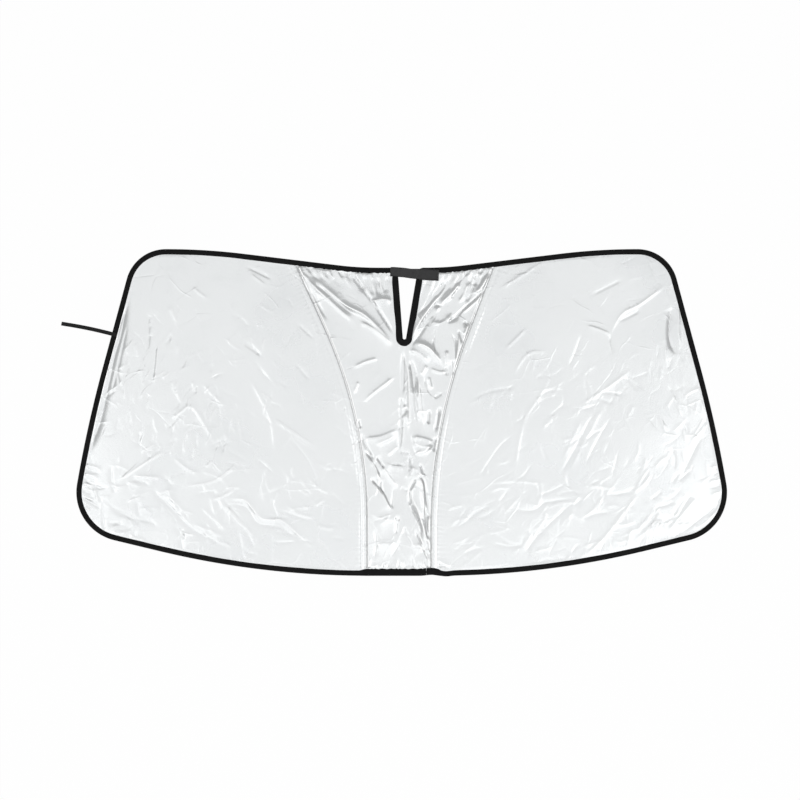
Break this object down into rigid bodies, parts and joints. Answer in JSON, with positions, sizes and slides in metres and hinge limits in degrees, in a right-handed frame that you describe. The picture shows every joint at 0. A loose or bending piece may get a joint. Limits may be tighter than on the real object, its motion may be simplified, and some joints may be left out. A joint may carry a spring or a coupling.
{
  "type": "folding windscreen sunshade",
  "caption": "Silver cloth windscreen shade on two spring hoops, with a gathered middle, bound edge, mirror notch with a strap, and an elastic storage loop.",
  "frame": {"origin": "under the binding tape at the middle of the dashboard edge, on the surface that the shade lies on", "axes": "+X to the right as seen from the silver side, +Y from the dashboard edge to the roof edge, +Z out of the silver side"},
  "size_m": [1.4882, 0.729, 0.0091],
  "materials": {
    "silver_cloth": "silver-coated woven taffeta, semi-gloss, creased",
    "casing_cloth": "silver-coated strip over the wire, seen from behind",
    "binding_tape": "black woven polyester tape, matt, folded over the edge and stitched",
    "strap_tape": "dark grey napped closure strap",
    "hook_and_loop": "dark grey hook and loop tape, matt",
    "elastic": "black ribbed elastic, matt",
    "spring_steel": "drawn spring wire",
    "crimp_ferrule": "plated crimped sleeve"
  },
  "bodies": {
    "root": {"edge_binding": "binding_tape", "left_hoop": "spring_steel", "left_ferrule": "crimp_ferrule", "left_casing": "casing_cloth", "right_hoop": "spring_steel", "right_ferrule": "crimp_ferrule", "right_casing": "casing_cloth", "left_panel": "silver_cloth", "right_panel": "silver_cloth", "centre_gusset": "silver_cloth", "left_roof_elastic": "elastic", "right_roof_elastic": "elastic", "dash_elastic": "elastic", "mirror_strap": "strap_tape", "strap_loop_patch": "hook_and_loop", "strap_hook_patch": "hook_and_loop", "storage_loop": "elastic"}
  },
  "joints": []
}
